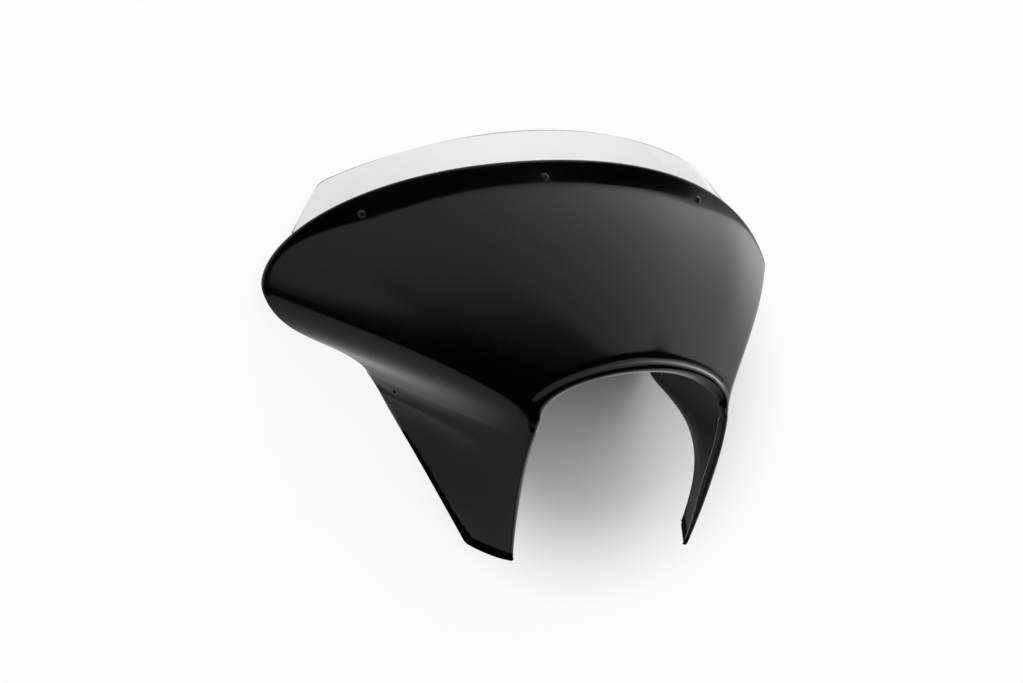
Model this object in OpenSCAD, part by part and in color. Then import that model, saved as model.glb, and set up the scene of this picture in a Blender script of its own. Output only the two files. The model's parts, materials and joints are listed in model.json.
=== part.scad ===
/* [Overall] */
// Width across the two wing tips
overall_w = 604; // [560:2:640]
// Wall of the moulded shell
wall = 3.2; // [2.6:0.1:3.6]
// Height of the middle of the top rim over the lamp centre
rim_z = 296; // [280:1:315]
// How far the middle of the top rim lies behind the opening corners
rim_y = 156; // [140:1:170]
// Level run of the rim to each side before it falls to the tip
rim_run = 215; // [190:1:230]
// How far the rim sweeps back between its middle and the wing tip
rim_sweep = 28; // [15:1:45]

/* [Wings] */
// Height of the wing tip over the lamp centre
tip_z = 178; // [165:1:190]
// Length of the round above the wing tip
tip_upper = 44; // [30:1:60]
// Length of the round below the wing tip
tip_lower = 49; // [38:1:58]
// Distance across from the centre plane to the wing root
root_x = 177; // [170:1:184]
// Height of the wing root over the lamp centre
root_z = 94; // [88:1:100]
// How far back the wing root lies
root_y = 199; // [192:1:202]
// Width of the folded edge where it is widest, at the wing root
root_fold = 8; // [3:0.5:12]

/* [Headlight opening] */
// Width between the two corners of the opening
opening_w = 221; // [205:1:240]
// Height of those corners over the lamp centre
corner_z = 65; // [56:1:76]
// Height of the middle of the arch over the lamp centre
arch_z = 101; // [95:1:112]
// How far the middle of the arch stands forward of the corners
arch_nose = 20; // [10:1:30]
// Width of the raised bead along the arch
bead_w = 8; // [6:0.5:11]
// Height of that bead
bead_h = 1.8; // [0.8:0.1:2.6]
// Width of the shallow groove above the bead
groove_w = 8; // [6:0.5:11]
// Depth of that groove
groove_h = 1.2; // [0.4:0.1:1.8]
// Length of the round that turns the edge into the lip
lip_round = 6.5; // [5.5:0.1:8]
// Depth of the lip past its round, at the arch
arch_lip = 7; // [4:0.5:12]
// Depth of the lip past its round, along the legs
leg_lip = 4; // [2:0.5:7]

/* [Legs] */
// Distance between the front corners of the two feet
foot_w = 210; // [190:1:225]
// Drop of the front corner of the foot below the lamp centre
foot_drop = 77; // [60:1:90]
// How far the front corner of the foot lies behind the opening corners
foot_y = 53; // [45:1:68]
// Length of the foot, front to back
foot_len = 43; // [32:1:52]
// How far the foot spreads outward over that length
foot_spread = 28; // [20:1:38]
// Rise of the foot over that length
foot_rise = 16; // [5:1:25]
// How far the front edge of the leg bows outward
leg_bow = 26; // [15:1:35]
// Depth of the turned-in band along the foot
foot_band = 6; // [4:0.5:10]
// How much the foot's lower edge rounds out between its corners
foot_round = 4; // [1:0.5:7]
// Bore of the mounting hole in each leg
leg_hole_d = 5.2; // [4.2:0.1:6.6]

/* [Surface] */
// Crown of the front face along its sections
face_crown = 15; // [10:1:20]
// Crown of the outer face of the legs
leg_crown = 3; // [0:0.5:6]
// Width of the upright band that carries the screen
land_w = 27; // [25:1:32]
// Turn of that band against the face, in degrees
land_turn = 26; // [16:1:32]
// Width of the same band where it runs out round the wing tip
land_tip_w = 8; // [7:0.5:12]

/* [Screen] */
// Thickness of the clear screen
screen_t = 3; // [2:0.1:4]
// Width across the two upper corners of the screen
screen_w = 452; // [430:2:480]
// Height of the middle of the screen's top edge over the rim
screen_rise = 27; // [16:1:44]
// How far that middle lies behind the rim
screen_lean = 7; // [2:1:16]
// Drop from the middle of the top edge to the screen's upper corners
screen_shoulder = 45; // [38:1:53]
// How far those corners lie behind the middle
screen_sweep = 37; // [31:1:43]
// How far the screen reaches down behind the band
screen_lap = 23; // [21:0.5:24]

/* [Screen fixings] */
// Distance of the screws below the rim
screw_drop = 18.5; // [15:0.5:18.5]
// Place of the side screws along the rim, from the middle to the tip
screw_side = 0.44; // [0.36:0.01:0.48]
// Thread diameter of the screws
screw_d = 4; // [3:0.5:5]
// Head diameter of the screws
head_d = 7.6; // [6.8:0.1:9]
// Head height of the screws
head_h = 2.2; // [1.8:0.1:2.6]
// Size across the flats of the hex socket
socket_af = 2.5; // [2:0.1:3]
// Clearance of a screw in its hole, on the diameter
hole_play = 0.6; // [0.4:0.1:1]
// Diameter of the rubber spacers
spacer_d = 10; // [9:0.5:12]
// Thickness of the rubber spacers between shell and screen
spacer_t = 1.5; // [1:0.1:2]
// Diameter of the washers under the nuts
washer_d = 9; // [8:0.5:11]
// Thickness of the washers under the nuts
washer_t = 1; // [0.6:0.1:1.5]
// Size across the flats of the nuts
nut_af = 7; // [6:0.1:8]
// Height of the nuts
nut_h = 5; // [3:0.1:6]
// Clearance of a nut on its thread, on the diameter
nut_play = 0.1; // [0.06:0.01:0.2]
// Length of thread that shows past the nut
thread_out = 1.5; // [0.5:0.1:3]
// Gap left between faces that are clamped together
seat_gap = 0.22; // [0.2:0.01:0.3]

/* [Hidden] */

half_w = overall_w / 2;
corner_x = opening_w / 2;
tip = [half_w, rim_y + rim_sweep, tip_z];
corner = [corner_x, 0, corner_z];
root = [root_x, root_y, root_z];
foot_front = [foot_w / 2, foot_y, -foot_drop];
foot_back = foot_front + [foot_spread, foot_len, foot_rise];

// Columns from the centre plane to the corner, to the root and to the foot
face_cols = 18;
wing_cols = 13;
leg_cols = 12;
bead_rows = 6;
body_rows = 8;
lip_steps = 4;
rim_steps = 3;

function unit(v) = v / norm(v);
function flipped(p) = [-p[0], p[1], p[2]];
function mix(a, b, t) = a + (b - a) * t;
function clamp01(t) = min(1, max(0, t));
function ease(t) = let (c = clamp01(t)) c * c * (3 - 2 * c);
function bezier(p, t) =
    pow(1 - t, 3) * p[0] + 3 * t * pow(1 - t, 2) * p[1] + 3 * t * t * (1 - t) * p[2] + pow(t, 3) * p[3];

// Edge curves of one half: ends and handles
arch_curve = [
    [0, -arch_nose, arch_z],
    [41, -arch_nose, arch_z],
    corner + [-15, 0, 25],
    corner];
leg_front_curve = [
    corner,
    corner + [-1, -5, -12],
    foot_front + [leg_bow, -47, 116],
    foot_front];
rim_curve = [
    [0, rim_y, rim_z],
    [rim_run, rim_y, rim_z],
    tip + [0, 20, tip_upper],
    tip];
underside_curve = [
    tip,
    tip + [-13, -3, -tip_lower],
    root + [40, -19, 37],
    root];
leg_back_curve = [
    root,
    root + [-37, 16, -30],
    foot_back + [71, 10, 121],
    foot_back];

// A column is a number: 0 on the centre plane, 1 at the corner, 2 at the foot
root_at = 1.45;
function inner_edge(u) = u <= 1 ? bezier(arch_curve, u) : bezier(leg_front_curve, u - 1);
function outer_edge(u) =
    u <= 1 ? bezier(rim_curve, u)
    : u <= root_at ? bezier(underside_curve, (u - 1) / (root_at - 1))
    : bezier(leg_back_curve, (u - root_at) / (2 - root_at));

// Outward direction of the skin at a column
function edge_run(u) =
    let (e = 0.01)
    outer_edge(min(2, u + e)) - (u < e ? flipped(outer_edge(e - u)) : outer_edge(u - e));
function out_dir(u) = unit(cross(edge_run(u), outer_edge(u) - inner_edge(u)));

// Crown over the straight section from the inner to the outer edge
function fall(u) = u <= 1 ? 0 : 1 - pow(1 - min(1, (u - 1) * 2.2), 2);
function crown_in(u) = mix(face_crown * [0, -0.8, 0.93], leg_crown * [0.85, -0.5, 0], fall(u));
function crown_out(u) = mix(face_crown * [0, -1.2, 0.4], leg_crown * [0.85, -0.5, 0], fall(u));

// Folded edge at the wing root, and the band that carries the screen
function fold_w(u) =
    u <= root_at ? 1 + (root_fold - 1) * ease((u - 1.22) / (root_at - 1.22))
    : 1 + 0.6 * (root_fold - 1) * (1 - ease((u - root_at) / 0.16));
function fold_drop(u) = 0.45 * (fold_w(u) - 1);
function land_at(u) =
    u <= 1 ? mix(land_w, land_tip_w, ease((u - 0.35) / 0.4)) : mix(land_tip_w, wall + fold_w(u) + 3, ease((u - 1) * 6));
function land_soft(u) = min(3.5, 0.7 * (land_at(u) - wall - fold_w(u)));
function land_rise(u) =
    tan(land_turn) * land_at(u)
    * (u <= 1 ? 1 - 0.8 * ease((u - 0.5) / 0.45) : 0.2 * (1 - ease((u - 1) * 6)));
function ramp(x, soft) = x <= -soft ? 0 : x >= soft ? x : pow(x + soft, 2) / (4 * soft);
function bead(u, d) =
    let (a = d / bead_w, g = (d - bead_w) / groove_w)
    (1 - ease((u - 0.85) * 6))
    * (bead_h * (1 - ease(a)) - groove_h * ease(a) * (1 - ease(g)));

function section_end(u) = outer_edge(u) - land_rise(u) * out_dir(u);
function section_len(u) = norm(section_end(u) - inner_edge(u));
function skin(u, v) =
    let (a = inner_edge(u), b = section_end(u), n = out_dir(u), len = norm(b - a), w = land_at(u),
        left = (1 - v) * len,
        rise = land_rise(u) / w * ramp(w - left, land_soft(u)),
        fold = fold_drop(u) * max(0, 1 - left / (wall + fold_w(u))))
    mix(a, b, v) + 3 * v * (1 - v) * ((1 - v) * crown_in(u) + v * crown_out(u))
    + (rise - fold + bead(u, max(0, v * len - lip_reach(u)))) * n;

// Rows of the skin at a column, as fractions of the section
function skin_rows(u) =
    let (len = section_len(u), w = land_at(u), s = land_soft(u), f = wall + fold_w(u),
        first = lip_reach(u) / len, bead_end = first + (bead_w + groove_w) / len, land_start = 1 - (w + s) / len)
    [for (k = [0 : bead_rows - 1]) mix(first, bead_end, k / bead_rows),
        for (k = [0 : body_rows]) mix(bead_end, land_start, k / body_rows),
        1 - w / len, 1 - (w - s) / len, 1 - f / len, 1 - wall / len];

// Turned-in lip along the opening and the front of the leg
lip_corner_dir = [-0.8, 0.58, 0.04];
function lip_dir(u) =
    u <= 1 ? unit(mix([0, 0.97, -0.22], lip_corner_dir, ease(u)))
    : unit(mix(lip_corner_dir, [-0.8, 0.55, 0.25], ease(u - 1)));
function lip_depth(u) = mix(mix(arch_lip, leg_lip, ease((u - 0.8) / 0.4)), 0.5, ease((u - 1.8) * 5));
function lip_reach(u) = lip_round * (1 - 0.45 * ease((u - 1.75) * 4));
function lip_arc(u, v) =
    let (p = skin(u, v), c = skin(u, 0), e = c + lip_reach(u) * lip_dir(u))
    [e + lip_depth(u) * lip_dir(u), e,
        for (k = [lip_steps - 1 : -1 : 1]) let (t = k / lip_steps) mix(mix(p, c, t), mix(c, e, t), t)];

// Rounded outer edge, over the full wall
function run_dir(u, v) = let (e = 0.004) unit(skin(u, v + e) - skin(u, v - e));
function up_dir(u, v) = let (t = run_dir(u, v), n = out_dir(u)) unit(n - (n * t) * t);
function rim_arc(u, v) =
    let (p = skin(u, v), t = run_dir(u, v), n = up_dir(u, v), c = p - wall * n)
    [for (k = [1 : rim_steps]) let (a = 90 * k / rim_steps) c + wall * (n * cos(a) + t * sin(a))];

// Outer points of one column, from the end of the lip to the end of the rim
function column(u) =
    let (rows = skin_rows(u))
    concat(lip_arc(u, rows[0]), [for (v = rows) skin(u, v)], rim_arc(u, rows[len(rows) - 1]));

half_at = concat(
    [for (k = [0 : face_cols - 1]) k / face_cols],
    [for (k = [0 : wing_cols - 1]) 1 + (root_at - 1) * k / wing_cols],
    [root_at, root_at + 0.006],
    [for (k = [1 : leg_cols]) root_at + (2 - root_at) * k / leg_cols]);
foot_down = unit(skin(2, 0.5) - skin(1.99, 0.5));
foot_in = up_dir(2, 0.5);
function foot_edge(line, a) =
    let (n = len(line) - 1)
    [for (j = [0 : n]) let (full = sin(180 * j / n), band = foot_band * mix(0.4, 1, full))
        line[j] + (band + foot_round * full) * sin(a) * foot_down - band * (1 - cos(a)) * foot_in];
half_grid = [
    for (u = half_at) column(u),
    for (a = [25, 50]) foot_edge(column(2), a)];

function both_halves(half) =
    let (n = len(half) - 1)
    [for (i = [-n : n]) [for (p = half[abs(i)]) i < 0 ? flipped(p) : p]];

function grid_normal(g, i, j) =
    let (c = len(g) - 1, r = len(g[0]) - 1,
        across = g[min(c, i + 1)][j] - g[max(0, i - 1)][j],
        along = g[i][min(r, j + 1)] - g[i][max(0, j - 1)])
    unit(cross(across, along));
function grid_offset(g, depth, rows) =
    [for (i = [0 : len(g) - 1]) [for (j = [0 : rows - 1]) g[i][j] - depth * grid_normal(g, i, j)]];

function flat(list) = [for (row = list) for (p = row) p];
// Two triangles, split along the longer diagonal, so that both halves of the cowl mirror each other
function quad(p, a, b, c, d) =
    norm(p[a] - p[c]) >= norm(p[b] - p[d]) ? [[a, b, c], [a, c, d]] : [[b, c, d], [b, d, a]];
function reversed(f) = [for (k = [len(f) - 1 : -1 : 0]) f[k]];

// Closed sheet from a grid of outer points and its inner grid, which may have fewer rows
module sheet(outer, inner) {
    cols = len(outer);
    ro = len(outer[0]);
    ri = len(inner[0]);
    base = cols * ro;
    points = concat(flat(outer), flat(inner));
    outside = [
        for (i = [0 : cols - 2]) for (j = [0 : ro - 2])
            let (a = i * ro + j, b = a + ro)
            each quad(points, a, a + 1, b + 1, b)];
    inside = [
        for (i = [0 : cols - 2]) for (j = [0 : ri - 2])
            let (a = base + i * ri + j, b = a + ri)
            each quad(points, a, b, b + 1, a + 1)];
    first_edge = [
        for (i = [0 : cols - 2])
            each quad(points, i * ro, (i + 1) * ro, base + (i + 1) * ri, base + i * ri)];
    last_edge = [
        for (i = [0 : cols - 2]) let (a = i * ro + ro - 1, d = base + i * ri + ri - 1)
            each quad(points, a + ro, a, d, d + ri)];
    caps = [
        for (i = [0, cols - 1]) for (j = [0 : ro - 2])
            let (j0 = min(j, ri - 1), j1 = min(j + 1, ri - 1), a = i * ro + j, d = base + i * ri + j0,
                ring = j0 == j1 ? [[a, a + 1, d]] : quad(points, a, a + 1, base + i * ri + j1, d))
            each (i == 0 ? [for (f = ring) reversed(f)] : ring)];
    polyhedron(points, concat(outside, inside, first_edge, last_edge, caps));
}

// Moves children so that Z points along a direction from a point
module at(point, dir) {
    translate(point)
    rotate([0, acos(dir[2]), atan2(dir[1], dir[0])])
    children();
}

// Screw places on the outer face of the band, a distance below the rim
function band_point(u, d) = u < 0 ? flipped(band_point(-u, d)) : skin(u, 1 - d / section_len(u));
function band_dir(u) =
    let (e = 0.01, d = screw_drop)
    unit(cross(band_point(u + e, d) - band_point(u - e, d), band_point(u, d - 1) - band_point(u, d + 1)));
screw_at = [-screw_side, 0, screw_side];
function side_of(s, p) = s < 0 ? flipped(p) : p;
function screw_point(s) = side_of(s, band_point(abs(s), screw_drop));
function screw_dir(s) = side_of(s, band_dir(abs(s)));

// Place of the mounting hole on the skin of a leg
leg_hole_u = 1.505;
leg_hole_v = 0.83;
leg_hole = skin(leg_hole_u, leg_hole_v);
leg_hole_dir = up_dir(leg_hole_u, leg_hole_v);

module cowl_shell() {
    outer = both_halves(half_grid);
    color([0.02, 0.02, 0.022])
    difference() {
        sheet(outer, grid_offset(outer, wall, len(outer[0]) - rim_steps));
        for (s = screw_at)
            at(screw_point(s), screw_dir(s))
            cylinder(d = screw_d + hole_play, h = 4 * wall, center = true, $fn = 48);
        for (m = [0, 1])
            mirror([m, 0, 0])
            at(leg_hole, leg_hole_dir)
            cylinder(d = leg_hole_d, h = 4 * wall, center = true, $fn = 48);
    }
}

// Screen: a seat behind the band, then a free part up to its top edge
screen_depth = wall + spacer_t + 2 * seat_gap;
screen_end = 0.64;
screen_z = rim_z + screen_rise;
screen_y = rim_y + screen_lean;
screen_corner = [screen_w / 2, screen_y + screen_sweep, screen_z - screen_shoulder];
screen_rows = 6;
screen_cols = 20;
corner_share = 0.82;
screen_end_point = band_point(screen_end, 1) - screen_depth * band_dir(screen_end);
screen_top_curve = [
    [0, screen_y, screen_z],
    [screen_w * 0.28, screen_y, screen_z],
    screen_corner + [-14, -2, 7],
    screen_corner];
screen_side_curve = [
    screen_corner,
    screen_corner + [9, -1, -9],
    screen_end_point + [-10, 6, 15],
    screen_end_point + [0, 0.5, 3]];
function screen_top(t) =
    t <= corner_share ? bezier(screen_top_curve, t / corner_share)
    : bezier(screen_side_curve, (t - corner_share) / (1 - corner_share));
function screen_column(t) =
    let (u = screen_end * t, n = band_dir(u),
        low = band_point(u, min(screen_lap, land_at(u) - land_soft(u))) - screen_depth * n,
        seat = band_point(u, wall) - screen_depth * n,
        top = screen_top(t), d = top - seat, mid = seat + (d - (d * n) * n) / 2)
    [low, mix(low, seat, 0.5),
        for (k = [0 : screen_rows]) let (a = k / screen_rows) mix(mix(seat, mid, a), mix(mid, top, a), a)];
module windscreen() {
    outer = both_halves([for (k = [0 : screen_cols]) screen_column(k / screen_cols)]);
    color([0.86, 0.88, 0.9, 0.35])
    difference() {
        sheet(outer, grid_offset(outer, screen_t, len(outer[0])));
        for (s = screw_at)
            at(screw_point(s) - screen_depth * screw_dir(s), screw_dir(s))
            cylinder(d = screw_d + hole_play, h = 4 * screen_t, center = true, $fn = 48);
    }
}

// Depths of the clamped pieces below the outer face of the band
spacer_depth = wall + seat_gap + spacer_t;
washer_depth = screen_depth + screen_t + seat_gap + washer_t;
nut_depth = washer_depth + seat_gap + nut_h;
screw_len = nut_depth + thread_out;

module screw(s) {
    dome_r = (pow(head_d / 2, 2) + pow(head_h, 2)) / (2 * head_h);
    color([0.04, 0.04, 0.045])
    at(screw_point(s) + seat_gap * screw_dir(s), screw_dir(s))
    difference() {
        union() {
            intersection() {
                translate([0, 0, head_h - dome_r])
                sphere(r = dome_r, $fn = 64);
                cylinder(d = head_d, h = head_h, $fn = 64);
            }
            translate([0, 0, -screw_len])
            cylinder(d = screw_d, h = screw_len + 0.5, $fn = 48);
        }
        translate([0, 0, head_h * 0.4])
        cylinder(d = socket_af / cos(30), h = head_h, $fn = 6);
    }
}
module ring(s, depth, d, t, tone) {
    color(tone)
    at(screw_point(s) - depth * screw_dir(s), screw_dir(s))
    difference() {
        cylinder(d = d, h = t, $fn = 64);
        cylinder(d = screw_d + hole_play, h = 4 * t, center = true, $fn = 48);
    }
}
module spacer(s) {
    ring(s, spacer_depth, spacer_d, spacer_t, [0.08, 0.08, 0.08]);
}
module washer(s) {
    ring(s, washer_depth, washer_d, washer_t, [0.06, 0.06, 0.06]);
}
module nut(s) {
    color([0.6, 0.6, 0.62])
    at(screw_point(s) - nut_depth * screw_dir(s), screw_dir(s))
    difference() {
        cylinder(d = nut_af / cos(30), h = nut_h, $fn = 6);
        cylinder(d = screw_d + nut_play, h = 4 * nut_h, center = true, $fn = 48);
    }
}

cowl_shell();
windscreen();
screw(screw_at[0]);  // left_screw
spacer(screw_at[0]);  // left_spacer
washer(screw_at[0]);  // left_washer
nut(screw_at[0]);  // left_nut
screw(screw_at[1]);  // centre_screw
spacer(screw_at[1]);  // centre_spacer
washer(screw_at[1]);  // centre_washer
nut(screw_at[1]);  // centre_nut
screw(screw_at[2]);  // right_screw
spacer(screw_at[2]);  // right_spacer
washer(screw_at[2]);  // right_washer
nut(screw_at[2]);  // right_nut
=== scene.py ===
import json
import math

import bmesh
import bpy
from mathutils import Matrix, Vector

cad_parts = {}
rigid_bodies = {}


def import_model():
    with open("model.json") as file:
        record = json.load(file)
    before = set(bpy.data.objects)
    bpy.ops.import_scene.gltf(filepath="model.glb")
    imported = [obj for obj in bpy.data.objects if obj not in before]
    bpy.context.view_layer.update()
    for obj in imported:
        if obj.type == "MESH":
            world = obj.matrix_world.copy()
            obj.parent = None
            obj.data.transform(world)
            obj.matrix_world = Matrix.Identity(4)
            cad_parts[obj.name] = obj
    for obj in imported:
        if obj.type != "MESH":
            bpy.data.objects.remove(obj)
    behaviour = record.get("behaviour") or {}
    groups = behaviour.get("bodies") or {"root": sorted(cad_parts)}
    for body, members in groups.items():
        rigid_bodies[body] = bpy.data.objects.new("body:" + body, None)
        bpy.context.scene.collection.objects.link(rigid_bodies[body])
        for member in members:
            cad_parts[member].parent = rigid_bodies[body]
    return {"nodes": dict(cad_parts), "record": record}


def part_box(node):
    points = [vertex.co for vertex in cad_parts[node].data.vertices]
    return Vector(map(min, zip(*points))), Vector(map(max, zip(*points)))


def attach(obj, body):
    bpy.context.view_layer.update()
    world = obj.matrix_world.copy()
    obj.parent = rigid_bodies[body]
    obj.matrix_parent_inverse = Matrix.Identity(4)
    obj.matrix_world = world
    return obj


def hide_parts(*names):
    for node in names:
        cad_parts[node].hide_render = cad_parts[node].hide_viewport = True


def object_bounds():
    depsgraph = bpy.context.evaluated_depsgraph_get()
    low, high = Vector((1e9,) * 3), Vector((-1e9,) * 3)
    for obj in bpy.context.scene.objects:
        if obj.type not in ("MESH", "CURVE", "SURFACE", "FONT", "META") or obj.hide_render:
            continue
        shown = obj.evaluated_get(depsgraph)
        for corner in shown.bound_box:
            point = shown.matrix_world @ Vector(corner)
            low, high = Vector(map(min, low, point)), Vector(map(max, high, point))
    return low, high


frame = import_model()
cad_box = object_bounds()
MM = 0.001
NEAR = 0.01 * MM

# Camera, in millimetres and degrees: where it stands seen from the lamp centre
VIEW_TURN = -35.0
VIEW_RISE = 5.0
VIEW_RANGE = 4750.0
VIEW_RIGHT = -116.375
VIEW_UP = 63.175
VIEW_CENTRE = (0.0, 0.0, 65.0)
SENSOR_W = 36.0
LENS = 175.95

# The table that the cowl lies against
TABLE_GAP = 1.0
TABLE_SIZE = 6000.0

# The table's real shade under the arch, round which a painted white glow fades in over the table's shadows:
# X and Z on the table in millimetres, and between which shares of the reach it fades
SHADE_MIDDLE = (110.0, 55.0)
SHADE_REACH = (260.0, 240.0)
SHADE_FADE = (0.4, 0.95)
TABLE_PAINTED_WHITE = 0.9

# Sizes of the fixings, as in the part's source, in millimetres
WALL = 3.2
SEAT_GAP = 0.22
SCREW_D = 4.0
HOLE_D = 4.6
HEAD_D = 7.6
HEAD_H = 2.2
SOCKET_AF = 2.5
SPACER_D = 10.0
SPACER_T = 1.5
WASHER_D = 9.0
WASHER_T = 1.0
NUT_AF = 7.0
NUT_H = 5.0
NUT_BORE = 4.1
SCREEN_T = 3.0
THREAD_OUT = 1.5
LEG_HOLE_D = 5.2
SIDES = ("left", "centre", "right")
HEX = 6
ROUND = 48

# How finely round pieces and threads are made, and up to which angle they shade smooth, in degrees
HEAD_SIDES = 64
THREAD_STEPS = 24
SKIN_SMOOTH = 40
FIXING_SMOOTH = 35
NUT_SMOOTH = 25

# Depths below the band's outer face
SCREEN_DEPTH = WALL + SPACER_T + 2 * SEAT_GAP
SPACER_DEPTH = WALL + SEAT_GAP + SPACER_T / 2
WASHER_DEPTH = SCREEN_DEPTH + SCREEN_T + SEAT_GAP + WASHER_T / 2
NUT_DEPTH = WASHER_DEPTH + WASHER_T / 2 + SEAT_GAP + NUT_H / 2
SCREW_END = NUT_DEPTH + NUT_H / 2 + THREAD_OUT


# Tools that work as by hand
def only(*pieces):
    """Selects these pieces alone and makes the first one active"""
    bpy.ops.object.select_all(action="DESELECT")
    for piece in pieces:
        piece.select_set(True)
    bpy.context.view_layer.objects.active = pieces[0]


def edit(piece, component="FACE"):
    only(piece)
    bpy.ops.object.mode_set(mode="EDIT")
    bpy.ops.mesh.select_mode(type=component)
    bpy.ops.mesh.select_all(action="DESELECT")


def leave_edit():
    bpy.ops.object.mode_set(mode="OBJECT")


def pick_faces(piece, wanted):
    """Selects the faces whose centre and normal pass a test, in edit mode"""
    mesh = bmesh.from_edit_mesh(piece.data)
    for face in mesh.faces:
        if wanted(face.calc_center_median(), face.normal):
            face.select = True
    bmesh.update_edit_mesh(piece.data)


def pick_edges(piece, wanted):
    """Selects the edges whose two ends pass a test, in edit mode"""
    mesh = bmesh.from_edit_mesh(piece.data)
    for edge in mesh.edges:
        if wanted(edge.verts[0].co, edge.verts[1].co):
            edge.select = True
    bmesh.update_edit_mesh(piece.data)


def apply_modifiers(piece):
    only(piece)
    for modifier in list(piece.modifiers):
        bpy.ops.object.modifier_apply(modifier=modifier.name)


def join(name, *pieces):
    only(*pieces)
    bpy.ops.object.join()
    whole = bpy.context.active_object
    whole.name = name
    return whole


def cylinder(radius, depth, middle=0.0, sides=ROUND):
    """Upright cylinder on the Z axis, sizes in millimetres"""
    bpy.ops.object.select_all(action="DESELECT")
    bpy.ops.mesh.primitive_cylinder_add(
        vertices=sides, radius=radius * MM, depth=depth * MM, location=(0, 0, middle * MM))
    piece = bpy.context.active_object
    bpy.ops.object.transform_apply(location=True, rotation=True, scale=True)
    return piece


def combine(piece, tool, operation):
    """Boolean with a tool piece, which is used up"""
    cut = piece.modifiers.new("cut", "BOOLEAN")
    cut.operation = operation
    cut.solver = "EXACT"
    cut.object = tool
    apply_modifiers(piece)
    bpy.data.objects.remove(tool)


def level(start, end):
    """Whether an edge lies level"""
    return abs(start.z - end.z) < NEAR and (start - end).length > NEAR


def bevel_rims(piece, width, steps):
    """Rounds the edges that lie level, at the ends of an upright piece"""
    edit(piece, "EDGE")
    pick_edges(piece, level)
    bpy.ops.mesh.bevel(offset=width * MM, segments=steps, profile=0.5, affect="EDGES")
    leave_edit()


def place(piece, at):
    """Moves a piece built on the Z axis to its place, and leaves the place in its mesh"""
    piece.matrix_world = at
    only(piece)
    bpy.ops.object.transform_apply(location=True, rotation=True, scale=True)


def smooth(piece, degrees):
    only(piece)
    bpy.ops.object.shade_smooth_by_angle(angle=math.radians(degrees))


def hand_over(piece, node):
    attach(piece, "root")
    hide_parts(node)


# Places of the fixings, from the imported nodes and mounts
def axis_frame(point, out):
    """Place at a point with its Z along a direction"""
    turn = Matrix.Rotation(math.atan2(out.y, out.x), 4, "Z") @ Matrix.Rotation(math.acos(out.z), 4, "Y")
    return Matrix.Translation(point) @ turn


def box_middle(node):
    low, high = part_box(node)
    return (low + high) / 2


def screw_frame(side):
    """Frame on the band's outer face under a screw's head, with Z outwards along the screw"""
    spacer = box_middle(side + "_spacer")
    out = (spacer - box_middle(side + "_nut")).normalized()
    return axis_frame(spacer + SPACER_DEPTH * MM * out, out)


def leg_frame(name):
    """Frame in the middle of the wall at a leg's mounting hole"""
    mount = next(m for m in frame["record"]["mounts"] if m["name"] == name)
    return axis_frame(Vector(mount["pos_m"]), Vector(mount["axis"]).normalized())


SCREWS = {side: screw_frame(side) for side in SIDES}
LEG_HOLES = [leg_frame("leg_hole_left"), leg_frame("leg_hole_right")]


# Moulded skins: a CAD node's mesh, merged, freed of its triangles and rounded
MERGE = 0.002 * MM
FLAT_TURN = math.radians(60)
ANY_SHAPE = math.radians(180)
CREASE_FROM = math.radians(38)
CREASE_FULL = math.radians(70)
CREASE_MOST = 0.35
SKIN_LEVELS = 2
SHARP = math.radians(50)

# How far a hole's rim reaches: along its axis, and across it as a share of its diameter
HOLE_REACH = 14.0
HOLE_SHARE = 0.53

# How deep the drills go, in millimetres
BAND_DRILL = 6.0
LEG_DRILL = 8.0
SCREEN_DRILL = 12.0

# A patch of the inner side, by X and Z, from which the whole side is picked
BACK_PATCH_X = 30.0
BACK_PATCH_Z = (150.0, 250.0)
BACK_FACING = 0.3

# The evened-out spot at the arch's corners, and the rolled edge of the top rim
ARCH_CORNER = (107.0, 3.0, 65.0)
CORNER_REACH = 17.0
CORNER_PASSES = 7
RIM_FROM = 175.0
RIM_ROLL = 3.0


def merged_copy(node, name):
    piece = bpy.data.objects.new(name, frame["nodes"][node].data.copy())
    bpy.context.scene.collection.objects.link(piece)
    only(piece)
    bpy.ops.mesh.customdata_custom_splitnormals_clear()
    edit(piece)
    bpy.ops.mesh.select_all(action="SELECT")
    bpy.ops.mesh.remove_doubles(threshold=MERGE)
    leave_edit()
    return piece


def close_hole(piece, hole, diameter):
    """Takes a hole's rim out of the skin and closes both faces over it, for the rounding"""
    middle = hole.translation
    axis = hole.col[2].xyz
    edit(piece, "VERT")
    mesh = bmesh.from_edit_mesh(piece.data)
    for vert in mesh.verts:
        arm = vert.co - middle
        along = arm.dot(axis)
        across = (arm - along * axis).length
        if abs(along) < HOLE_REACH * MM and across < HOLE_SHARE * diameter * MM:
            vert.select = True
    bmesh.update_edit_mesh(piece.data)
    bpy.ops.mesh.delete(type="VERT")
    bpy.ops.mesh.select_mode(type="EDGE")
    bpy.ops.mesh.select_all(action="DESELECT")
    bpy.ops.mesh.select_non_manifold()
    bpy.ops.mesh.fill_holes(sides=0)
    leave_edit()


def corner_turn(face, k):
    """Turn of a face's outline at its corner k, near 0 where the outline runs straight on"""
    points = [v.co for v in face.verts]
    count = len(points)
    return (points[k] - points[k - 1]).angle(points[(k + 1) % count] - points[k])


def split_long_faces(piece):
    """Parts each six-sided face over a hole along the grid line that the hole had cut"""
    edit(piece, "VERT")
    mesh = bmesh.from_edit_mesh(piece.data)
    for face in mesh.faces:
        if len(face.verts) == 6:
            k = min(range(3), key=lambda i: corner_turn(face, i) + corner_turn(face, i + 3))
            face.verts[k].select = True
            face.verts[k + 3].select = True
    bmesh.update_edit_mesh(piece.data)
    bpy.ops.mesh.vert_connect()
    leave_edit()


def join_triangles(piece):
    edit(piece)
    bpy.ops.mesh.select_all(action="SELECT")
    bpy.ops.mesh.tris_convert_to_quads(face_threshold=FLAT_TURN, shape_threshold=ANY_SHAPE)
    leave_edit()


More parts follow.
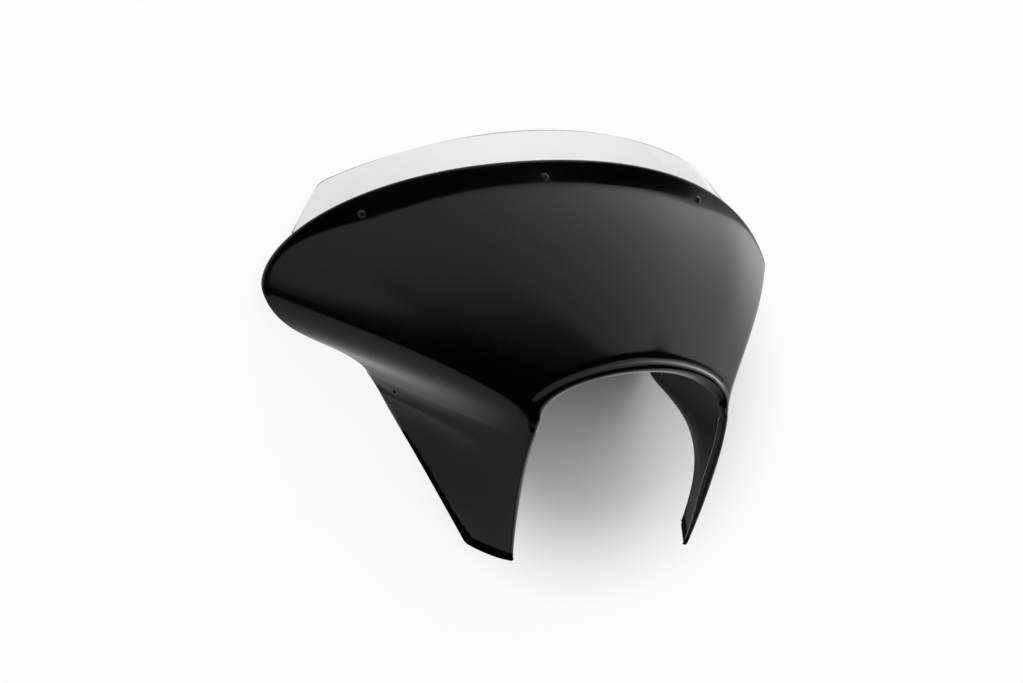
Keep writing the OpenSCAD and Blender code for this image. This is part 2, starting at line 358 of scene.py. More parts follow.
def crease_by_angle(piece):
    """Keeps the skin's true corners, and lets its rounds flow"""
    edit(piece, "EDGE")
    mesh = bmesh.from_edit_mesh(piece.data)
    crease = mesh.edges.layers.float.new("crease_edge")
    for edge in mesh.edges:
        turn = edge.calc_face_angle(0.0)
        sharp = (turn - CREASE_FROM) / (CREASE_FULL - CREASE_FROM)
        edge[crease] = min(1.0, max(0.0, sharp)) * CREASE_MOST
    bmesh.update_edit_mesh(piece.data)
    leave_edit()


def assign_back(piece, inside):
    """Gives the second material to the side of the skin that holds the faces passing a test"""
    edit(piece, "EDGE")
    bpy.ops.mesh.edges_select_sharp(sharpness=SHARP)
    bpy.ops.mesh.mark_sharp()
    bpy.ops.mesh.select_mode(type="FACE")
    bpy.ops.mesh.select_all(action="DESELECT")
    pick_faces(piece, inside)
    bpy.ops.mesh.select_linked(delimit={"SHARP"})
    piece.active_material_index = 1
    bpy.ops.object.material_slot_assign()
    bpy.ops.mesh.select_all(action="SELECT")
    bpy.ops.mesh.mark_sharp(clear=True)
    leave_edit()


def round_skin(piece):
    crease_by_angle(piece)
    finer = piece.modifiers.new("finer", "SUBSURF")
    finer.levels = SKIN_LEVELS
    finer.render_levels = SKIN_LEVELS
    apply_modifiers(piece)


def drill(piece, holes, diameter, reach):
    """Cuts round holes through a skin"""
    for hole in holes:
        bit = cylinder(diameter / 2, 2 * reach, -reach / 2)
        place(bit, hole)
        combine(piece, bit, "DIFFERENCE")


def moulded_skin(node, name, holes):
    """A CAD node's skin of four-sided faces, closed over its holes, which are (place, diameter) pairs"""
    skin = merged_copy(node, name)
    for hole, diameter in holes:
        close_hole(skin, hole, diameter)
    split_long_faces(skin)
    join_triangles(skin)
    return skin


def calm(piece, spot, reach, passes):
    """Evens out a patch of the skin on both sides of the piece"""
    edit(piece, "VERT")
    mesh = bmesh.from_edit_mesh(piece.data)
    for vert in mesh.verts:
        mirrored = Vector((abs(vert.co.x), vert.co.y, vert.co.z))
        if (mirrored - Vector(spot) * MM).length < reach * MM:
            vert.select = True
    bmesh.update_edit_mesh(piece.data)
    bpy.ops.mesh.vertices_smooth(factor=0.5, repeat=passes)
    leave_edit()


def round_rim(shell):
    """Rolls the shell's front edge over along the top rim, above the arch"""
    edit(shell, "EDGE")
    mesh = bmesh.from_edit_mesh(shell.data)
    for edge in mesh.edges:
        outside = all(face.material_index == 0 for face in edge.link_faces)
        height = min(vert.co.z for vert in edge.verts)
        if outside and edge.calc_face_angle(0.0) > SHARP and height > RIM_FROM * MM:
            edge.select = True
    bmesh.update_edit_mesh(shell.data)
    bpy.ops.mesh.bevel(
        offset=RIM_ROLL * MM, segments=1, profile=0.5, affect="EDGES", clamp_overlap=False)
    leave_edit()


# The legs' rear edges and feet, made dull and black as a painted shade for the dark reflection they show, in
# millimetres: the inner line of the rear edge's band by the height, and the upper line of the foot's band by
# the side from FOOT_FROM
LEG_REAR = (157.7, 0.322, -0.00275)
REAR_TOP = 42.0
LEG_FOOT = (-72.5, 0.15, 0.0145)
FOOT_FROM = 102.0
FOOT_TOP = -52.0


def curve(value, start, slope, bow):
    """A slightly bowed line"""
    return start + value * (slope + value * bow)


def on_painted_edge_shade(centre, normal):
    """Whether a face lies in the painted edge shade, on a leg's folded rear edge or on its foot"""
    side = abs(centre.x) / MM
    height = centre.z / MM
    rear = height < REAR_TOP and side > curve(height, *LEG_REAR)
    return rear or height < min(FOOT_TOP, curve(side - FOOT_FROM, *LEG_FOOT))


def paint_leg_edge_shade(shell):
    """Gives the third material, a dull painted shade, to the legs' rear edges and feet"""
    edit(shell)
    pick_faces(shell, on_painted_edge_shade)
    shell.active_material_index = 2
    bpy.ops.object.material_slot_assign()
    leave_edit()


def on_back_patch(centre, normal):
    """Whether a face lies on the inner side, in the middle of the cowl"""
    low, high = BACK_PATCH_Z
    middle = abs(centre.x) < BACK_PATCH_X * MM and low * MM < centre.z < high * MM
    return middle and normal.y > BACK_FACING


def make_shell(outer, inner, edge_shade):
    """The shell isn't seen in gloss, because its face shows no mirror image of it"""
    holes = [(SCREWS[side], HOLE_D) for side in SIDES] + [(hole, LEG_HOLE_D) for hole in LEG_HOLES]
    shell = moulded_skin("cowl_shell", "moulded_shell", holes)
    dress(shell, outer, inner, edge_shade)
    assign_back(shell, on_back_patch)
    calm(shell, ARCH_CORNER, CORNER_REACH, CORNER_PASSES)
    round_rim(shell)
    round_skin(shell)
    drill(shell, SCREWS.values(), HOLE_D, BAND_DRILL)
    drill(shell, LEG_HOLES, LEG_HOLE_D, LEG_DRILL)
    paint_leg_edge_shade(shell)
    smooth(shell, SKIN_SMOOTH)
    shell.visible_glossy = False
    hand_over(shell, "cowl_shell")


def make_screen(clear):
    screen = moulded_skin("windscreen", "clear_screen", [(SCREWS[side], HOLE_D) for side in SIDES])
    dress(screen, clear)
    round_skin(screen)
    drill(screen, SCREWS.values(), HOLE_D, SCREEN_DRILL)
    smooth(screen, SKIN_SMOOTH)
    hand_over(screen, "windscreen")


# Fixings, each built on the Z axis and then moved to its place, in millimetres
HEAD_EDGE = 0.35
DOME_STEPS = 7
SOCKET_DEPTH = 1.3
CORE_ROUND = 0.3
COLLAR_SPARE = 0.02
COLLAR_ROUND = 0.2
THREAD_PITCH = 0.7
THREAD_DEPTH = 0.43
THREAD_FLANK = 0.46
THREAD_SPARE = 0.03
THREAD_ROOT = 0.05
THREAD_START = 0.6
THREAD_STOP = 0.4
SPACER_ROUND = 0.35
WASHER_ROUND = 0.12
CHAMFER = 0.45
TURNED_SPARE = 0.01
SINK_OUT = 0.35
SINK_IN = 0.2
SINK_DEPTH = 0.8
SINK_SET = 0.15
FACING_UP = 0.9


def button_head():
    """Domed head with a hex socket, standing on the band's face"""
    head = cylinder(HEAD_D / 2, HEAD_EDGE, SEAT_GAP + HEAD_EDGE / 2, HEAD_SIDES)
    dome_h = HEAD_H - HEAD_EDGE
    dome_r = ((HEAD_D / 2) ** 2 + dome_h ** 2) / (2 * dome_h)
    edit(head)
    pick_faces(head, lambda centre, normal: normal.z > FACING_UP)
    radius = HEAD_D / 2
    rise = HEAD_EDGE
    for k in range(1, DOME_STEPS + 1):
        angle = math.asin(HEAD_D / 2 / dome_r) * (1 - k / (DOME_STEPS + 1))
        next_radius = dome_r * math.sin(angle)
        next_rise = HEAD_H - dome_r * (1 - math.cos(angle))
        bpy.ops.mesh.extrude_region_move(
            TRANSFORM_OT_translate={"value": (0, 0, (next_rise - rise) * MM)})
        bpy.ops.transform.resize(
            value=(next_radius / radius, next_radius / radius, 1),
            center_override=(0, 0, (SEAT_GAP + next_rise) * MM))
        radius = next_radius
        rise = next_rise
    leave_edit()
    socket_r = SOCKET_AF / math.cos(math.pi / HEX) / 2
    socket = cylinder(socket_r, 2 * SOCKET_DEPTH, SEAT_GAP + HEAD_H, HEX)
    combine(head, socket, "DIFFERENCE")
    return head


def thread_outline(core_r):
    """Three-cornered outline of the thread at the screw's end, with its tip outwards"""
    bpy.ops.object.select_all(action="DESELECT")
    bpy.ops.mesh.primitive_circle_add(vertices=3, radius=THREAD_DEPTH * MM, fill_type="NGON")
    outline = bpy.context.active_object
    edit(outline, "VERT")
    points = bmesh.from_edit_mesh(outline.data).verts
    flank = THREAD_PITCH * THREAD_FLANK
    root = core_r - THREAD_ROOT
    corners = ((SCREW_D / 2 - THREAD_SPARE, 0.0), (root, flank), (root, -flank))
    points.ensure_lookup_table()
    for point, (out, up) in zip(points, corners):
        point.co = Vector((out * MM, 0, (-SCREW_END + THREAD_START + up) * MM))
    bmesh.update_edit_mesh(outline.data)
    bpy.ops.mesh.select_all(action="SELECT")
    bpy.ops.mesh.delete(type="ONLY_FACE")
    leave_edit()
    return outline


def threaded_shank():
    """Plain core with a helical ridge wound round its lower part"""
    core_r = SCREW_D / 2 - THREAD_DEPTH
    plain = WALL + SEAT_GAP
    core = cylinder(core_r, SCREW_END + SEAT_GAP, -SCREW_END / 2 + SEAT_GAP / 2)
    bevel_rims(core, CORE_ROUND, 2)
    collar = cylinder(SCREW_D / 2 - COLLAR_SPARE, plain, -plain / 2 + SEAT_GAP)
    bevel_rims(collar, COLLAR_ROUND, 2)
    ridge = thread_outline(core_r)
    wind = ridge.modifiers.new("wind", "SCREW")
    wind.axis = "Z"
    wind.steps = THREAD_STEPS
    wind.render_steps = THREAD_STEPS
    wind.iterations = int((SCREW_END - plain - THREAD_STOP) / THREAD_PITCH)
    wind.screw_offset = THREAD_PITCH * MM
    wind.use_normal_calculate = True
    apply_modifiers(ridge)
    edit(ridge, "EDGE")
    bpy.ops.mesh.select_non_manifold()
    bpy.ops.mesh.fill_holes(sides=0)
    bpy.ops.mesh.select_all(action="SELECT")
    bpy.ops.mesh.normals_make_consistent(inside=False)
    leave_edit()
    return join("shank", core, collar, ridge)


def make_screw(side, finish):
    screw = join(side + "_button_screw", button_head(), threaded_shank())
    place(screw, SCREWS[side])
    smooth(screw, FIXING_SMOOTH)
    dress(screw, finish)
    hand_over(screw, side + "_screw")


def pierced_disc(radius, bore, thickness, depth):
    """Flat ring whose middle lies at a depth below the band's face"""
    disc = cylinder(radius, thickness, -depth, HEAD_SIDES)
    edit(disc)
    pick_faces(disc, lambda centre, normal: abs(normal.z) > FACING_UP)
    bpy.ops.mesh.inset(thickness=(radius - bore) * MM, use_individual=True)
    bpy.ops.mesh.bridge_edge_loops()
    leave_edit()
    return disc


def make_spacer(side, finish):
    spacer = pierced_disc(SPACER_D / 2, HOLE_D / 2, SPACER_T, SPACER_DEPTH)
    bevel_rims(spacer, SPACER_ROUND, 4)
    spacer.name = side + "_rubber_spacer"
    place(spacer, SCREWS[side])
    smooth(spacer, FIXING_SMOOTH)
    dress(spacer, finish)
    hand_over(spacer, side + "_spacer")


def make_washer(side, finish):
    washer = pierced_disc(WASHER_D / 2, HOLE_D / 2, WASHER_T, WASHER_DEPTH)
    bevel_rims(washer, WASHER_ROUND, 2)
    washer.name = side + "_flat_washer"
    place(washer, SCREWS[side])
    smooth(washer, FIXING_SMOOTH)
    dress(washer, finish)
    hand_over(washer, side + "_washer")


def make_nut(side, finish):
    """Hex nut with its corners turned off at both ends and a countersunk bore"""
    corner_r = NUT_AF / math.cos(math.pi / HEX) / 2
    nut = cylinder(corner_r, NUT_H, -NUT_DEPTH, HEX)
    turned = cylinder(corner_r + TURNED_SPARE, NUT_H, -NUT_DEPTH, HEAD_SIDES)
    bevel_rims(turned, CHAMFER, 1)
    combine(nut, turned, "INTERSECT")
    combine(nut, cylinder(NUT_BORE / 2, 2 * NUT_H, -NUT_DEPTH), "DIFFERENCE")
    for end in (-1, 1):
        bpy.ops.object.select_all(action="DESELECT")
        bpy.ops.mesh.primitive_cone_add(
            vertices=ROUND, radius1=(NUT_BORE / 2 + SINK_OUT) * MM, radius2=(NUT_BORE / 2 - SINK_IN) * MM,
            depth=SINK_DEPTH * MM, rotation=(math.pi if end > 0 else 0, 0, 0),
            location=(0, 0, (-NUT_DEPTH + end * (NUT_H / 2 - SINK_SET)) * MM))
        sink = bpy.context.active_object
        bpy.ops.object.transform_apply(location=True, rotation=True, scale=True)
        combine(nut, sink, "DIFFERENCE")
    nut.name = side + "_hex_nut"
    place(nut, SCREWS[side])
    smooth(nut, NUT_SMOOTH)
    dress(nut, finish)
    hand_over(nut, side + "_nut")


# Effects that several finishes share
def new_group(name, numbers, results):
    """Node group with a Vector input, number inputs with their values, and value outputs"""
    group = bpy.data.node_groups.new(name, "ShaderNodeTree")
    group.interface.new_socket("Vector", in_out="INPUT", socket_type="NodeSocketVector")
    for label, value in numbers.items():
        socket = group.interface.new_socket(label, in_out="INPUT", socket_type="NodeSocketFloat")
        socket.default_value = value
    for label in results:
        group.interface.new_socket(label, in_out="OUTPUT", socket_type="NodeSocketFloat")
    return group, group.nodes.new("NodeGroupInput"), group.nodes.new("NodeGroupOutput")


def span(tree, value, low, high, start=0.0, end=1.0):
    """Smooth step of a value from one range to another; low and high may be sockets"""
    node = tree.nodes.new("ShaderNodeMapRange")
    node.interpolation_type = "SMOOTHSTEP"
    tree.links.new(value, node.inputs["Value"])
    for label, given in (("From Min", low), ("From Max", high), ("To Min", start), ("To Max", end)):
        if isinstance(given, bpy.types.NodeSocket):
            tree.links.new(given, node.inputs[label])
        else:
            node.inputs[label].default_value = given
    return node.outputs["Result"]


def maths(tree, operation, first, second=0.0):
    node = tree.nodes.new("ShaderNodeMath")
    node.operation = operation
    for slot, given in enumerate((first, second)):
        if isinstance(given, bpy.types.NodeSocket):
            tree.links.new(given, node.inputs[slot])
        else:
            node.inputs[slot].default_value = given
    return node.outputs["Value"]


def less(tree, value):
    """One minus a value"""
    return maths(tree, "SUBTRACT", 1.0, value)


def split(tree, vector):
    """A vector's X, Y and Z"""
    node = tree.nodes.new("ShaderNodeSeparateXYZ")
    tree.links.new(vector, node.inputs["Vector"])
    return node.outputs


def choose(tree, test, no, yes):
    """Shader that is one of two by a test"""
    node = tree.nodes.new("ShaderNodeMixShader")
    tree.links.new(test, node.inputs["Fac"])
    tree.links.new(no, node.inputs[1])
    tree.links.new(yes, node.inputs[2])
    return node.outputs["Shader"]


def noise(tree, vector, scale, detail):
    node = tree.nodes.new("ShaderNodeTexNoise")
    node.inputs["Detail"].default_value = detail
    tree.links.new(vector, node.inputs["Vector"])
    if isinstance(scale, bpy.types.NodeSocket):
        tree.links.new(scale, node.inputs["Scale"])
    else:
        node.inputs["Scale"].default_value = scale
    return node.outputs["Fac"]


def make_surface_marks():
    """Clouding, fine ripple, round dust specks and hairline rubs, as masks"""
    scales = {
        "Cloud Scale": 9.0, "Ripple Scale": 260.0, "Dust Scale": 420.0, "Dust Size": 0.12, "Rub Scale": 60.0}
    group, given, result = new_group("surface_marks", scales, ("Cloud", "Ripple", "Dust", "Rub"))
    vector = given.outputs["Vector"]
    cloud = span(group, noise(group, vector, given.outputs["Cloud Scale"], 4.0), 0.32, 0.68)
    group.links.new(cloud, result.inputs["Cloud"])
    group.links.new(noise(group, vector, given.outputs["Ripple Scale"], 1.0), result.inputs["Ripple"])
    cells = group.nodes.new("ShaderNodeTexVoronoi")
    group.links.new(vector, cells.inputs["Vector"])
    group.links.new(given.outputs["Dust Scale"], cells.inputs["Scale"])
    shade = group.nodes.new("ShaderNodeSeparateColor")
    group.links.new(cells.outputs["Color"], shade.inputs["Color"])
    rare = maths(group, "POWER", shade.outputs["Red"], 6.0)
    size = maths(group, "MULTIPLY", rare, given.outputs["Dust Size"])
    speck = maths(group, "LESS_THAN", cells.outputs["Distance"], size)
    group.links.new(speck, result.inputs["Dust"])
    stretch = group.nodes.new("ShaderNodeMapping")
    stretch.inputs["Rotation"].default_value = (0.4, 0.3, 0.7)
    stretch.inputs["Scale"].default_value = (1.0, 14.0, 3.0)
    group.links.new(vector, stretch.inputs["Vector"])
    lines = noise(group, stretch.outputs["Vector"], given.outputs["Rub Scale"], 3.0)
    group.links.new(span(group, lines, 0.6, 0.72), result.inputs["Rub"])
    return group


def make_edge_wear():
    """Where a piece's outer edges are rubbed, broken up by a noise"""
    numbers = {"Bend": 0.5, "Low": 0.53, "High": 0.6, "Scale": 90.0}
    group, given, result = new_group("edge_wear", numbers, ("Wear",))
    edge = span(group, given.outputs["Bend"], given.outputs["Low"], given.outputs["High"])
    patch = span(group, noise(group, given.outputs["Vector"], given.outputs["Scale"], 5.0), 0.35, 0.6)
    group.links.new(maths(group, "MULTIPLY", edge, patch), result.inputs["Wear"])
    return group


def make_grain():
    """Fine moulded or machined grain as a height, with a soft tone variation"""
    scales = {"Grain Scale": 900.0, "Tone Scale": 40.0}
    group, given, result = new_group("fine_grain", scales, ("Grain", "Tone"))
    vector = given.outputs["Vector"]
    group.links.new(noise(group, vector, given.outputs["Grain Scale"], 3.0), result.inputs["Grain"])
    group.links.new(noise(group, vector, given.outputs["Tone Scale"], 3.0), result.inputs["Tone"])
    return group


SURFACE_MARKS = make_surface_marks()
EDGE_WEAR = make_edge_wear()
FINE_GRAIN = make_grain()


def new_finish(name):
    """A material with its tree, its shader and its object coordinates"""
    material = bpy.data.materials.new(name)
    material.use_nodes = True
    tree = material.node_tree
    spot = tree.nodes.new("ShaderNodeTexCoord").outputs["Object"]
    return material, tree, tree.nodes["Principled BSDF"], spot


def use_group(tree, group, spot, **values):
    """Places a shared effect, with its values by input name, underscores for spaces"""
    node = tree.nodes.new("ShaderNodeGroup")
    node.node_tree = group
    tree.links.new(spot, node.inputs["Vector"])
    for label, value in values.items():
        socket = node.inputs[label.replace("_", " ")]
        if isinstance(value, bpy.types.NodeSocket):
            tree.links.new(value, socket)
        else:
            socket.default_value = value
    return node.outputs


def bend(tree):
    """How far a place stands out, for edge wear"""
    return tree.nodes.new("ShaderNodeNewGeometry").outputs["Pointiness"]


def tint(tree, mask, plain, marked):
    """Colour that goes from plain to marked with a mask"""
    node = tree.nodes.new("ShaderNodeMix")
    node.data_type = "RGBA"
    tree.links.new(mask, node.inputs["Factor"])
    for label, colour in (("A", plain), ("B", marked)):
        socket = next(s for s in node.inputs if s.name == label and s.type == "RGBA")
        if isinstance(colour, bpy.types.NodeSocket):
            tree.links.new(colour, socket)
        else:
            socket.default_value = (*colour, 1.0)
    return next(s for s in node.outputs if s.type == "RGBA")


def emboss(tree, skin, height, depth, strength=1.0):
    """Bump from a height in millimetres"""
    node = tree.nodes.new("ShaderNodeBump")
    node.inputs["Distance"].default_value = depth * MM
    node.inputs["Strength"].default_value = strength
    tree.links.new(height, node.inputs["Height"])
    tree.links.new(node.outputs["Normal"], skin.inputs["Normal"])


def gloss_black():
    """Outer side: polished moulding with slight orange peel, a trace of dust and fine rubs"""
    material, tree, skin, spot = new_finish("gloss_black_plastic")
    marks = use_group(tree, SURFACE_MARKS, spot)
    wear = use_group(tree, EDGE_WEAR, spot, Bend=bend(tree))["Wear"]
    black = tint(tree, marks["Cloud"], (0.0008, 0.0008, 0.0009), (0.0014, 0.0014, 0.0015))
    worn = tint(tree, wear, black, (0.004, 0.004, 0.0042))
    dusted = tint(tree, maths(tree, "MULTIPLY", marks["Dust"], 0.25), worn, (0.3, 0.3, 0.3))
    tree.links.new(dusted, skin.inputs["Base Color"])
    rubbed = maths(tree, "MULTIPLY", marks["Rub"], 0.015)
    clouded = span(tree, marks["Cloud"], 0.0, 1.0, 0.125, 0.15)
    rough = maths(tree, "ADD", maths(tree, "ADD", clouded, rubbed), maths(tree, "MULTIPLY", wear, 0.05))
    tree.links.new(rough, skin.inputs["Roughness"])
    skin.inputs["IOR"].default_value = 1.5
    emboss(tree, skin, marks["Ripple"], 0.006)
    return material


def painted_edge_shade_black():
    """The legs' rear edges and feet: the same black, dulled as a painted shade for the dark they reflect"""
    material, tree, skin, spot = new_finish("painted_edge_shade_plastic")
    grain = use_group(tree, FINE_GRAIN, spot, Tone_Scale=90.0)
    black = tint(tree, grain["Tone"], (0.0008, 0.0008, 0.0009), (0.0014, 0.0014, 0.0015))
    tree.links.new(black, skin.inputs["Base Color"])
    # Painted shade: rough with a low IOR, so the edges show dark without a reflection
    tree.links.new(span(tree, grain["Tone"], 0.3, 0.7, 0.6, 0.7), skin.inputs["Roughness"])
    skin.inputs["IOR"].default_value = 1.04
    emboss(tree, skin, grain["Grain"], 0.01)
    return material


def inner_black():
    """Inner side: the same plastic as it leaves the mould, matt with a fine grain"""
    material, tree, skin, spot = new_finish("inner_black_plastic")
    grain = use_group(tree, FINE_GRAIN, spot)
    marks = use_group(tree, SURFACE_MARKS, spot, Dust_Size=0.2)
    black = tint(tree, grain["Tone"], (0.0018, 0.0018, 0.0019), (0.003, 0.003, 0.0032))
    dusted = tint(tree, maths(tree, "MULTIPLY", marks["Dust"], 0.2), black, (0.2, 0.2, 0.2))
    tree.links.new(dusted, skin.inputs["Base Color"])
    tree.links.new(span(tree, marks["Cloud"], 0.0, 1.0, 0.42, 0.52), skin.inputs["Roughness"])
    skin.inputs["IOR"].default_value = 1.1
    emboss(tree, skin, grain["Grain"], 0.02)
    return material


# From where to where, by the side in metres, the curved screen is painted darker: a painted shade for the
# longer way through the turned sheet
SCREEN_PAINTED_SHADE = (0.03, 0.24)


def clear_plastic():
    """Clear sheet with hardly any tint, faintly hazed, that lets light through to the table, and a painted
    shade towards its ends
    """
    material, tree, skin, spot = new_finish("clear_screen_plastic")
    marks = use_group(tree, SURFACE_MARKS, spot, Ripple_Scale=60.0)
    clear = tint(tree, marks["Cloud"], (0.89, 0.89, 0.89), (0.91, 0.91, 0.91))
    # Painted shade: the colour darkens towards the sheet's ends, for the longer way through it where it
    # turns
    side = maths(tree, "ABSOLUTE", split(tree, spot)["X"])
    turned = tint(tree, span(tree, side, *SCREEN_PAINTED_SHADE), clear, (0.82, 0.82, 0.82))
    tree.links.new(turned, skin.inputs["Base Color"])
    rubbed = maths(tree, "MULTIPLY", marks["Rub"], 0.02)
    tree.links.new(maths(tree, "ADD", rubbed, 0.02), skin.inputs["Roughness"])
    skin.inputs["IOR"].default_value = 1.49
    skin.inputs["Transmission Weight"].default_value = 1.0
    emboss(tree, skin, marks["Ripple"], 0.01)
    see_through = tree.nodes.new("ShaderNodeBsdfTransparent")
    see_through.inputs["Color"].default_value = (0.9, 0.9, 0.9, 1.0)
    shadow = tree.nodes.new("ShaderNodeLightPath").outputs["Is Shadow Ray"]
    shown = choose(tree, shadow, skin.outputs["BSDF"], see_through.outputs["BSDF"])
    tree.links.new(shown, tree.nodes["Material Output"].inputs["Surface"])
    return material


def black_steel():
    """Blackened screw, browner and brighter where its edges are rubbed"""
    material, tree, skin, spot = new_finish("blackened_steel")
    grain = use_group(tree, FINE_GRAIN, spot, Grain_Scale=2500.0, Tone_Scale=300.0)
    wear = use_group(tree, EDGE_WEAR, spot, Bend=bend(tree), Scale=900.0)["Wear"]
    dark = tint(tree, grain["Tone"], (0.018, 0.018, 0.019), (0.03, 0.029, 0.028))
    tree.links.new(tint(tree, wear, dark, (0.16, 0.155, 0.15)), skin.inputs["Base Color"])
    skin.inputs["Metallic"].default_value = 0.6
    tree.links.new(span(tree, grain["Tone"], 0.3, 0.7, 0.2, 0.32), skin.inputs["Roughness"])
    emboss(tree, skin, grain["Grain"], 0.004)
    return material


def spacer_rubber():
    """Soft black rubber with a dull, dusty grain"""
    material, tree, skin, spot = new_finish("black_rubber")
    grain = use_group(tree, FINE_GRAIN, spot, Grain_Scale=1800.0, Tone_Scale=200.0)
    marks = use_group(tree, SURFACE_MARKS, spot, Dust_Scale=900.0, Dust_Size=0.3)
    dark = tint(tree, grain["Tone"], (0.014, 0.014, 0.014), (0.026, 0.026, 0.025))
    dusted = tint(tree, maths(tree, "MULTIPLY", marks["Dust"], 0.4), dark, (0.18, 0.17, 0.16))
    tree.links.new(dusted, skin.inputs["Base Color"])
    tree.links.new(span(tree, grain["Tone"], 0.3, 0.7, 0.68, 0.82), skin.inputs["Roughness"])
    emboss(tree, skin, grain["Grain"], 0.03)
    return material


def washer_nylon():
    """Black nylon, half matt"""
    material, tree, skin, spot = new_finish("black_nylon")
    grain = use_group(tree, FINE_GRAIN, spot, Grain_Scale=1500.0, Tone_Scale=150.0)
    wear = use_group(tree, EDGE_WEAR, spot, Bend=bend(tree), Scale=700.0)["Wear"]
    dark = tint(tree, grain["Tone"], (0.016, 0.016, 0.017), (0.024, 0.024, 0.025))
    tree.links.new(tint(tree, wear, dark, (0.07, 0.07, 0.07)), skin.inputs["Base Color"])
    tree.links.new(span(tree, grain["Tone"], 0.3, 0.7, 0.42, 0.55), skin.inputs["Roughness"])
    emboss(tree, skin, grain["Grain"], 0.01)
    return material


def nut_steel():
    """Bright zinc on steel, with cloudy tone and polished corners"""
    material, tree, skin, spot = new_finish("zinc_steel")
    grain = use_group(tree, FINE_GRAIN, spot, Grain_Scale=2600.0, Tone_Scale=350.0)
    marks = use_group(tree, SURFACE_MARKS, spot, Cloud_Scale=180.0, Rub_Scale=500.0)
    wear = use_group(tree, EDGE_WEAR, spot, Bend=bend(tree), Scale=800.0)["Wear"]
    zinc = tint(tree, marks["Cloud"], (0.5, 0.5, 0.51), (0.66, 0.66, 0.65))
    tree.links.new(tint(tree, wear, zinc, (0.82, 0.82, 0.82)), skin.inputs["Base Color"])
    skin.inputs["Metallic"].default_value = 1.0
    rubbed = maths(tree, "MULTIPLY", marks["Rub"], 0.1)
    rough = maths(tree, "ADD", span(tree, grain["Tone"], 0.3, 0.7, 0.26, 0.4), rubbed)
    tree.links.new(rough, skin.inputs["Roughness"])
    emboss(tree, skin, grain["Grain"], 0.006)
    return material


def dress(piece, *materials):
    piece.data.materials.clear()
    for material in materials:
        piece.data.materials.append(material)


make_shell(gloss_black(), inner_black(), painted_edge_shade_black())
make_screen(clear_plastic())
screw_finish = black_steel()
rubber = spacer_rubber()
nylon = washer_nylon()
zinc = nut_steel()
for side in SIDES:
    make_screw(side, screw_finish)
    make_spacer(side, rubber)
    make_washer(side, nylon)
    make_nut(side, zinc)


def make_table():
    """A pale sheet close behind the cowl, seen from its front only and not in gloss, with painted white
    light over its shadows away from the arch
    """
    low, high = cad_box
    bpy.ops.object.select_all(action="DESELECT")
    middle = (0.0, high[1] + TABLE_GAP * MM, (low[2] + high[2]) / 2)
    bpy.ops.mesh.primitive_plane_add(size=TABLE_SIZE * MM, location=middle, rotation=(math.pi / 2, 0, 0))
    table = bpy.context.active_object
    table.name = "table"
    bpy.ops.object.transform_apply(location=True, rotation=True, scale=True)
    material, tree, skin, spot = new_finish("pale_table")
    skin.inputs["Base Color"].default_value = (0.93, 0.93, 0.93, 1.0)
    skin.inputs["Roughness"].default_value = 0.9
    skin.inputs["Specular IOR Level"].default_value = 0.0
    hidden = tree.nodes.new("ShaderNodeBsdfTransparent").outputs["BSDF"]
    back = tree.nodes.new("ShaderNodeNewGeometry").outputs["Backfacing"]
    path = tree.nodes.new("ShaderNodeLightPath").outputs
    mirrored = maths(tree, "MULTIPLY", path["Is Glossy Ray"], less(tree, path["Is Transmission Ray"]))
    unseen = maths(tree, "MAXIMUM", back, mirrored)
    seen = maths(tree, "MAXIMUM", path["Is Camera Ray"], path["Is Transmission Ray"])
    white = tree.nodes.new("ShaderNodeEmission").outputs["Emission"]
    parts = split(tree, spot)
    arms = []
    for axis, centre, reach in zip("XZ", SHADE_MIDDLE, SHADE_REACH):
        arm = maths(tree, "SUBTRACT", parts[axis], centre * MM)
        arm = maths(tree, "ABSOLUTE", maths(tree, "DIVIDE", arm, reach * MM))
        arms.append(maths(tree, "POWER", arm, 2.0))
    away = maths(tree, "SQRT", maths(tree, "ADD", *arms))
    # Painted white: camera rays see a glow that grows away from the arch's shade and covers the table's
    # shadows there
    glow = span(tree, away, *SHADE_FADE, 0.0, TABLE_PAINTED_WHITE)
    shown = choose(tree, maths(tree, "MULTIPLY", seen, glow), skin.outputs["BSDF"], white)
    shown = choose(tree, unseen, shown, hidden)
    tree.links.new(shown, tree.nodes["Material Output"].inputs["Surface"])
    dress(table, material)


make_table()


# The studio: a white tent round the cowl with a black opening in front, at the camera. Spans are of the
# direction's parts: its X, its height Z, and its share towards the front, 1 straight to -Y.
# First the tent's brightness, and what its middle, right, back and floor add to it
TENT = 0.35
MIDDLE_EXTRA = 0.08
MIDDLE_SPAN = (-0.75, -0.2)
RIGHT_EXTRA = 0.27
RIGHT_SPAN = (0.2, 0.95)
BACK_EXTRA = 1.0
BACK_SPAN = (0.1, 0.7)
BACK_RISE = (-0.1, 0.3)
FLOOR_EXTRA = 0.12
FLOOR_SPAN = (0.3, 0.9)

# The black opening, its soft borders, and the veil that dims the rest of the front
OPENING_SIDE = (0.27, 0.36)
OPENING_TILT = 0.08
OPENING_TOP = (0.745, 0.80)
OPENING_TOP_AHEAD = (0.62, 0.97)
OPENING_AHEAD = (0.80, 0.99)
OPENING_LEAN = 0.08
OPENING_ARC = 0.3
OPENING_FOOT = (-0.45, -0.20)
VEIL = 0.7
VEIL_SIDE = (0.82, 0.92)
VEIL_SPAN = (0.2, 0.75)

# The least level part of a direction, because the shares are taken of it
FLAT_LEAST = 0.0001

# The plain light on all that isn't gloss, from below to above
FILL_LOW = 0.25
FILL_TOP = 1.7
FILL_SPAN = (-0.4, 0.6)


